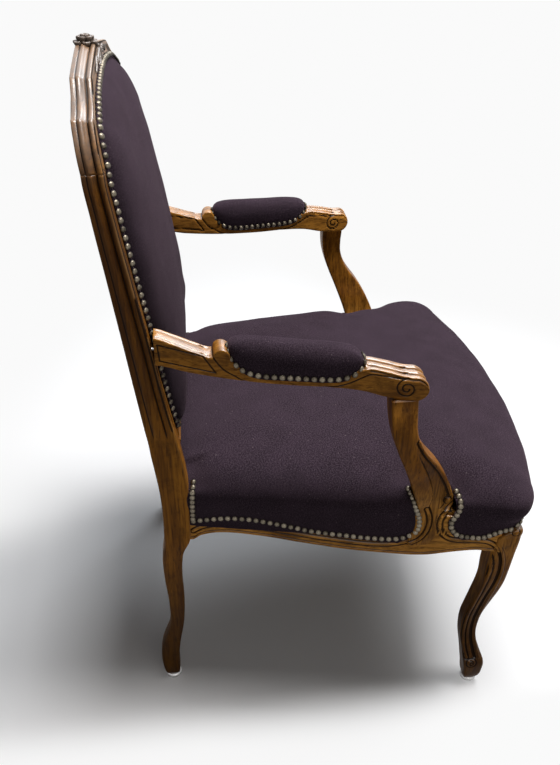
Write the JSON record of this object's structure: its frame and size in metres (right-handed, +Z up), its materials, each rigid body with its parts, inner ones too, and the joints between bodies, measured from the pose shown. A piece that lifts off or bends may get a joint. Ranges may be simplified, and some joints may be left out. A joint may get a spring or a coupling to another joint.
{
  "type": "upholstered armchair",
  "caption": "Open armchair with a moulded, curved wooden frame, a sprung domed seat, a flat padded back and padded arms, all close-nailed.",
  "frame": {"origin": "middle of the chair's plan box, on the floor", "axes": "+Z up, the sitter faces -Y, the chair's own left side is +X"},
  "size_m": [0.6658, 0.6688, 1.0054],
  "materials": {
    "wood": "polished, waxed",
    "plain_wood": "plain sawn",
    "fabric": "fine dark wool weave",
    "brass": "antique",
    "stuffing": "hair and felt",
    "jute": "coarse jute weave",
    "cambric": "thin black dust cloth",
    "spring_steel": "coppered wire",
    "screw_steel": "plain",
    "glide_plastic": "white"
  },
  "bodies": {
    "root": {"back_post_right": "wood", "back_post_left": "wood", "crest_rail": "wood", "back_bottom_rail": "wood", "rear_seat_rail": "wood", "side_seat_rail_right": "wood", "side_seat_rail_left": "wood", "front_seat_rail": "wood", "front_leg_right": "wood", "front_leg_left": "wood", "arm_support_right": "wood", "arm_support_left": "wood", "armrest_right": "wood", "armrest_left": "wood", "corner_block_rear_right": "plain_wood", "corner_block_rear_left": "plain_wood", "corner_screw_rear_right": "screw_steel", "corner_screw_rear_left": "screw_steel", "glide_rear_right": "glide_plastic", "glide_rear_left": "glide_plastic", "corner_block_front_right": "plain_wood", "corner_block_front_left": "plain_wood", "corner_screw_front_right": "screw_steel", "corner_screw_front_left": "screw_steel", "glide_front_right": "glide_plastic", "glide_front_left": "glide_plastic", "arm_screw_right": "screw_steel", "arm_screw_left": "screw_steel", "seat_webbing": "jute", "dust_cover": "cambric", "seat_spring_1": "spring_steel", "seat_spring_2": "spring_steel", "seat_spring_3": "spring_steel", "seat_spring_4": "spring_steel", "seat_spring_5": "spring_steel", "seat_hessian": "jute", "seat_stuffing": "stuffing", "seat_cover": "fabric", "back_outside_cover": "fabric", "back_webbing": "jute", "back_stuffing": "stuffing", "back_cover": "fabric", "arm_pad_stuffing_right": "stuffing", "arm_pad_stuffing_left": "stuffing", "arm_pad_cover_right": "fabric", "arm_pad_cover_left": "fabric", "arm_nails_outer_right": "brass", "arm_nails_outer_left": "brass", "arm_nails_inner_right": "brass", "arm_nails_inner_left": "brass", "seat_nails_right": "brass", "seat_nails_left": "brass", "seat_nails_corner_right": "brass", "seat_nails_corner_left": "brass", "seat_nails_front": "brass", "seat_nails_rear": "brass", "back_nails_front": "brass", "back_nails_rear": "brass"}
  },
  "joints": []
}
